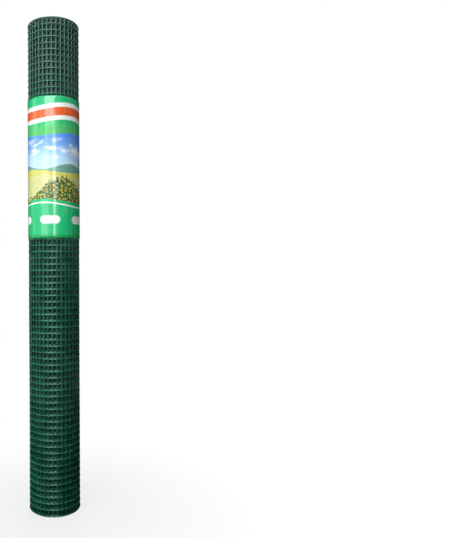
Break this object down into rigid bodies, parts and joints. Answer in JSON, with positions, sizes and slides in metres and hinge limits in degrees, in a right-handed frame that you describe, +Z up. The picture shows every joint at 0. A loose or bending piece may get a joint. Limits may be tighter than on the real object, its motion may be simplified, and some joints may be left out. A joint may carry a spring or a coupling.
{
  "type": "roll of wire fencing",
  "caption": "Tall slim roll of green plastic-coated welded wire mesh, wound in a tight spiral round an open bore, with a printed film label wrapped round its upper part.",
  "frame": {"origin": "on the axis of the bore, in the plane of the end that stands on the floor", "axes": "+Z up along the bore; -Y towards the viewer of the picture; +X to the viewer's right"},
  "size_m": [0.1079, 0.1099, 1],
  "materials": {
    "coated_mesh": "dark green PVC coating on steel wire, semi-gloss",
    "label_film": "printed film, glossy"
  },
  "bodies": {
    "root": {"mesh_roll": "coated_mesh", "label_wrap": "label_film"}
  },
  "joints": []
}
